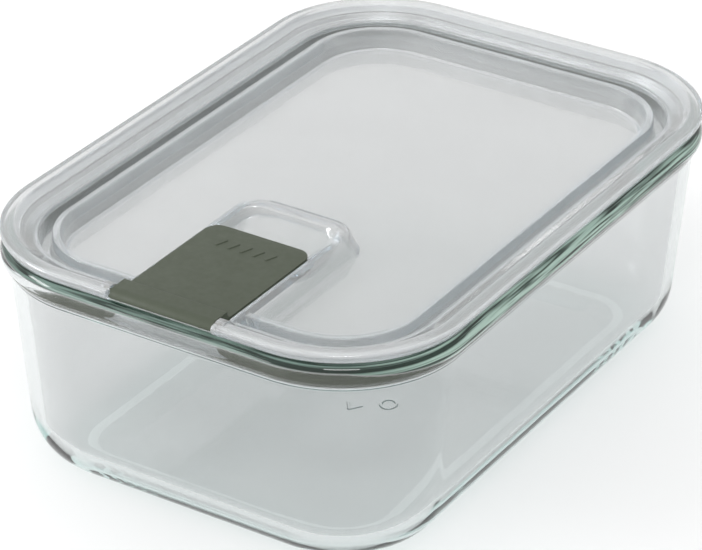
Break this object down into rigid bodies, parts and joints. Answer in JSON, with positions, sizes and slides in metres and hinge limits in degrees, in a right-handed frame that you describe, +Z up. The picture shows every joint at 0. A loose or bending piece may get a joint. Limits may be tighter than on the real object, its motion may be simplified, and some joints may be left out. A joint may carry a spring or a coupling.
{
  "type": "glass food storage container",
  "caption": "Rectangular glass food storage box with rounded corners, a clear snap-in lid with a sealing ring, and a wide hinged lever clip at one end of the lid.",
  "frame": {"origin": "centre of the overall footprint on the plane of the foot ring, so the container stands on z = 0", "axes": "+Z up, length along Y with the clip at the -Y end, width along X"},
  "size_m": [0.162, 0.23, 0.0837],
  "materials": {
    "clear_glass": "clear borosilicate glass with a faint blue-green edge tint",
    "clear_plastic": "translucent milky polypropylene, satin sheen",
    "green_silicone": "matte olive silicone",
    "green_plastic": "fine matte olive plastic"
  },
  "bodies": {
    "bowl": {"glass_bowl": "clear_glass"},
    "lid_assembly": {"lid": "clear_plastic", "seal_ring": "green_silicone"},
    "lever_clip": {"clip": "green_plastic"}
  },
  "joints": [
    {"name": "lid_lift", "type": "slide", "parent": "bowl", "child": "lid_assembly", "axis": [0, 0, 1], "range_m": [0, 0.1]},
    {"name": "clip_open", "type": "hinge", "parent": "lid_assembly", "child": "lever_clip", "pos_m": [0, -0.1118, 0.0822], "axis": [1, 0, 0], "range_deg": [0, 95]}
  ]
}
